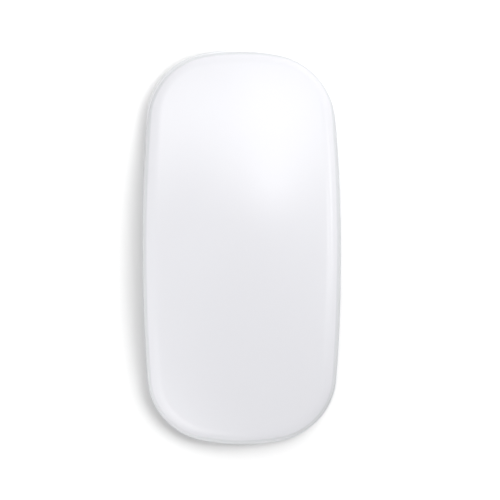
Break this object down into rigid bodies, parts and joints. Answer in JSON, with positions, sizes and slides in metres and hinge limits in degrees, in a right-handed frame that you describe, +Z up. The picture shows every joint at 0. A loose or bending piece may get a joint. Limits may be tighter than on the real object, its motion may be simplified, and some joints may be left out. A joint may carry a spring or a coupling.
{
  "type": "wireless mouse",
  "caption": "Low, arched wireless computer mouse with a one-piece glossy touch shell that clicks, on a metal base with glide runners.",
  "frame": {"origin": "on the desk under the middle of the mouse, at the runners' lower face", "axes": "+X to the right, +Y towards the finger end, +Z up"},
  "size_m": [0.057, 0.1134, 0.0216],
  "materials": {
    "shell_white": "glossy, clear edge",
    "film_amber": "thin film",
    "flex_orange": "flat flexible cable",
    "connector_cream": "moulded",
    "bracket_grey": "moulded",
    "steel": "ground",
    "spring_steel": "rolled strip",
    "frame_black": "moulded",
    "screw_black": "blackened",
    "base_metal": "fine satin",
    "runner_grey": "smooth low-friction",
    "board_green": "coated laminate",
    "chip_black": "moulded",
    "tin": "tinned sheet",
    "antenna_white": "fired",
    "lens_clear": "clear",
    "window_dark": "dark window",
    "switch_black": "moulded",
    "plunger_white": "moulded",
    "contact_brass": "plated",
    "knob_grey": "fine texture",
    "mark_green": "printed strip",
    "led_yellow": "moulded",
    "bezel_white": "polished",
    "cell_silver": "foil pouch",
    "pad_grey": "foam tape"
  },
  "bodies": {
    "base": {"touch_flex": "flex_orange", "flex_connector": "connector_cream", "hinge_pins": "steel", "return_springs": "spring_steel", "inner_frame": "frame_black", "frame_screws": "screw_black", "base_shell": "base_metal", "right_runner": "runner_grey", "left_runner": "runner_grey", "main_board": "board_green", "board_screws": "screw_black", "board_chips": "chip_black", "rf_shield": "tin", "antenna": "antenna_white", "sensor_chip": "chip_black", "sensor_lens": "lens_clear", "sensor_window": "window_dark", "click_switch_housing": "switch_black", "click_switch_terminals": "contact_brass", "power_switch_housing": "switch_black", "power_on_mark": "mark_green", "status_led": "led_yellow", "light_pipe": "lens_clear", "charge_port_shell": "steel", "charge_port_tongue": "chip_black", "port_bezel": "bezel_white", "battery_pack": "cell_silver", "battery_pad": "pad_grey", "battery_protection_board": "board_green", "battery_tab": "flex_orange", "battery_connector": "connector_cream"},
    "shell": {"top_shell": "shell_white", "touch_film": "film_amber", "front_bracket": "bracket_grey", "rear_bracket": "bracket_grey"},
    "plunger": {"click_switch_plunger": "plunger_white"},
    "knob": {"power_knob": "knob_grey"}
  },
  "joints": [
    {"name": "shell_click", "type": "hinge", "parent": "base", "child": "shell", "pos_m": [0, -0.043, 0.0088], "axis": [-1, 0, 0], "range_deg": [0, 0.23], "stiffness_Nm_per_rad": 6.9, "springref_deg": -0.25, "deforming": ["return_springs", "touch_flex"]},
    {"name": "plunger_slide", "type": "slide", "parent": "base", "child": "plunger", "axis": [0, 0, -1], "range_m": [0, 0.0004]},
    {"name": "power_slide", "type": "slide", "parent": "base", "child": "knob", "axis": [0, 1, 0], "range_m": [-0.003, 0]}
  ],
  "couplings": [
    {"joint": "plunger_slide", "follows": "shell_click", "m_per_rad": 0.086}
  ]
}
